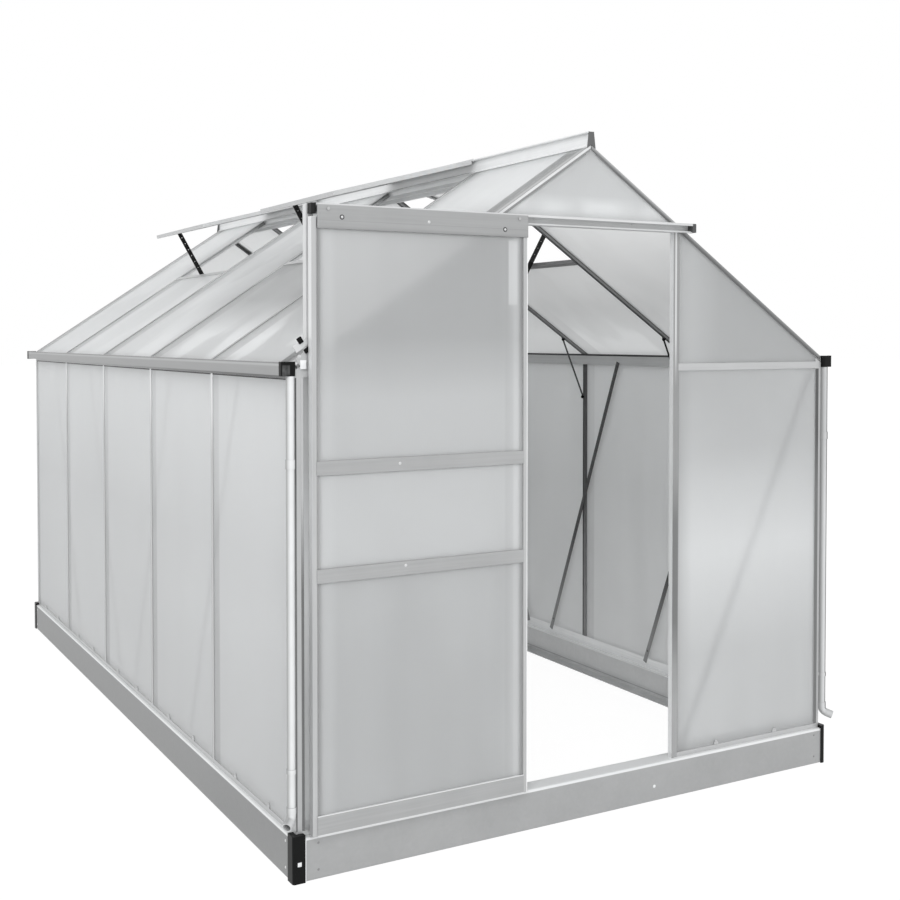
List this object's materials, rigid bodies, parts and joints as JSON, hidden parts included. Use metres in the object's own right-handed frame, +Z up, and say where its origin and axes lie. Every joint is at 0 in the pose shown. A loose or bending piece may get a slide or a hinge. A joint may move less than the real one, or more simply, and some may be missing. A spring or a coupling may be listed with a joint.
{
  "type": "polycarbonate greenhouse",
  "caption": "Walk-in garden greenhouse with an aluminium frame, twin-wall panels on a steel base, gutters with downpipes, open hinged roof vents and a sliding door in the front gable.",
  "frame": {"origin": "centre of the footprint at ground level", "axes": "+Z up, +Y from the front gable with the sliding door towards the rear gable, +X to the right of a person facing the front gable"},
  "size_m": [1.9674, 3.1454, 2],
  "materials": {
    "galvanised": "galvanised, dull",
    "aluminium": "mill finish",
    "plate_steel": "zinc plated, dull",
    "polycarbonate": "translucent twin wall with fine flutes",
    "black_plastic": "matte",
    "white_plastic": "satin",
    "dark_steel": "dark, satin",
    "nylon": "smooth"
  },
  "bodies": {
    "greenhouse": {"base_ends": "galvanised", "base_sides": "galvanised", "base_corner_caps": "black_plastic", "side_sills": "aluminium", "end_sills": "aluminium", "corner_posts": "aluminium", "left_wall_bars": "aluminium", "right_wall_bars": "aluminium", "eave_beams": "aluminium", "gutter_fronts": "aluminium", "gutter_floors": "aluminium", "gutter_end_caps": "black_plastic", "downpipes": "white_plastic", "gable_rafters": "aluminium", "left_roof_bars": "aluminium", "right_roof_bars": "aluminium", "ridge_beam": "aluminium", "ridge_end_plates": "galvanised", "front_jambs": "aluminium", "rear_posts": "aluminium", "gable_rails": "aluminium", "front_header": "aluminium", "door_track": "aluminium", "track_end_caps": "black_plastic", "track_post": "aluminium", "track_bracket": "galvanised", "left_wall_panels": "polycarbonate", "right_wall_panels": "polycarbonate", "front_wall_panels": "polycarbonate", "front_gable_panels": "polycarbonate", "rear_wall_panels": "polycarbonate", "rear_gable_panels": "polycarbonate", "left_roof_panels": "polycarbonate", "right_roof_panels": "polycarbonate", "vent_sills": "aluminium", "vent_frames": "aluminium", "vent_panels": "polycarbonate", "vent_stays": "dark_steel", "diagonal_braces": "galvanised", "knee_braces": "galvanised"},
    "door": {"door_stiles": "aluminium", "door_rails": "aluminium", "door_hanger": "plate_steel", "door_panels": "polycarbonate", "door_rollers": "nylon"}
  },
  "joints": [
    {"name": "door_slide", "type": "slide", "parent": "greenhouse", "child": "door", "axis": [1, 0, 0], "range_m": [0, 0.572]}
  ]
}
